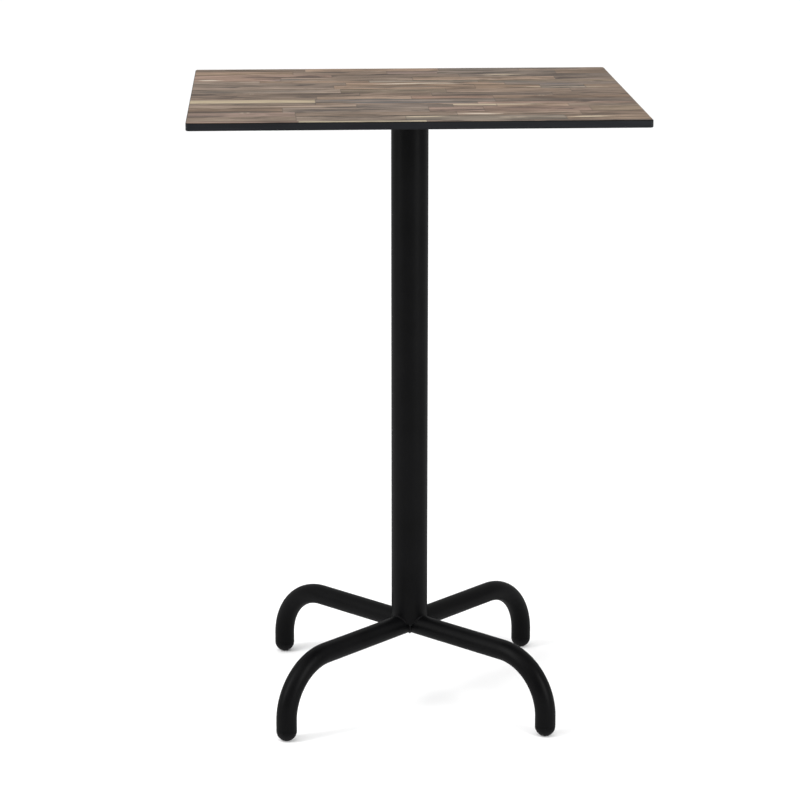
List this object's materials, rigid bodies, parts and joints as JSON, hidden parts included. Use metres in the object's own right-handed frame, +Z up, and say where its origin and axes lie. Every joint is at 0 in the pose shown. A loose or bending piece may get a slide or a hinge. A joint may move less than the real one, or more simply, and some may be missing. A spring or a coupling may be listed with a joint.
{
  "type": "bistro table",
  "caption": "Tall bistro table: thin wood-look compact laminate top on a round black steel column with curved tube legs and domed levelling feet.",
  "frame": {"origin": "on the floor under the column's axis, in the plane of the feet's contact flats", "axes": "+Z up along the column, +X along the top's long side, front of the table faces -Y"},
  "size_m": [0.7, 0.6, 1.02],
  "materials": {
    "decor": "matt laminate printed with grey-brown reclaimed planks",
    "laminate_core": "solid black compact laminate, satin milled edge",
    "black_steel": "fine-textured semi-matt black powder coat on steel",
    "black_plastic": "moulded black plastic",
    "zinc_steel": "bright zinc plating",
    "brass": "turned brass"
  },
  "bodies": {
    "table": {"tabletop_decor_sheet": "decor", "tabletop_core": "laminate_core", "tabletop_backing_sheet": "laminate_core", "column_tube": "black_steel", "leg_front_left": "black_steel", "leg_front_right": "black_steel", "leg_back_right": "black_steel", "leg_back_left": "black_steel", "foot_plug_front_left": "black_plastic", "foot_nut_front_left": "zinc_steel", "foot_plug_front_right": "black_plastic", "foot_nut_front_right": "zinc_steel", "foot_plug_back_right": "black_plastic", "foot_nut_back_right": "zinc_steel", "foot_plug_back_left": "black_plastic", "foot_nut_back_left": "zinc_steel", "support_arm_front_left": "black_steel", "arm_cap_front_left": "black_plastic", "support_arm_front_right": "black_steel", "arm_cap_front_right": "black_plastic", "support_arm_back_right": "black_steel", "arm_cap_back_right": "black_plastic", "support_arm_back_left": "black_steel", "arm_cap_back_left": "black_plastic", "top_screw_front_left_inner": "zinc_steel", "top_washer_front_left_inner": "zinc_steel", "top_insert_front_left_inner": "brass", "top_screw_front_left_outer": "zinc_steel", "top_washer_front_left_outer": "zinc_steel", "top_insert_front_left_outer": "brass", "top_screw_front_right_inner": "zinc_steel", "top_washer_front_right_inner": "zinc_steel", "top_insert_front_right_inner": "brass", "top_screw_front_right_outer": "zinc_steel", "top_washer_front_right_outer": "zinc_steel", "top_insert_front_right_outer": "brass", "top_screw_back_right_inner": "zinc_steel", "top_washer_back_right_inner": "zinc_steel", "top_insert_back_right_inner": "brass", "top_screw_back_right_outer": "zinc_steel", "top_washer_back_right_outer": "zinc_steel", "top_insert_back_right_outer": "brass", "top_screw_back_left_inner": "zinc_steel", "top_washer_back_left_inner": "zinc_steel", "top_insert_back_left_inner": "brass", "top_screw_back_left_outer": "zinc_steel", "top_washer_back_left_outer": "zinc_steel", "top_insert_back_left_outer": "brass"},
    "foot_front_left": {"foot_pad_front_left": "black_plastic", "foot_stud_front_left": "zinc_steel"},
    "foot_front_right": {"foot_pad_front_right": "black_plastic", "foot_stud_front_right": "zinc_steel"},
    "foot_back_right": {"foot_pad_back_right": "black_plastic", "foot_stud_back_right": "zinc_steel"},
    "foot_back_left": {"foot_pad_back_left": "black_plastic", "foot_stud_back_left": "zinc_steel"}
  },
  "joints": [
    {"name": "level_front_left", "type": "slide", "parent": "table", "child": "foot_front_left", "axis": [0, 0, -1], "range_m": [0, 0.01]},
    {"name": "level_front_right", "type": "slide", "parent": "table", "child": "foot_front_right", "axis": [0, 0, -1], "range_m": [0, 0.01]},
    {"name": "level_back_right", "type": "slide", "parent": "table", "child": "foot_back_right", "axis": [0, 0, -1], "range_m": [0, 0.01]},
    {"name": "level_back_left", "type": "slide", "parent": "table", "child": "foot_back_left", "axis": [0, 0, -1], "range_m": [0, 0.01]}
  ]
}
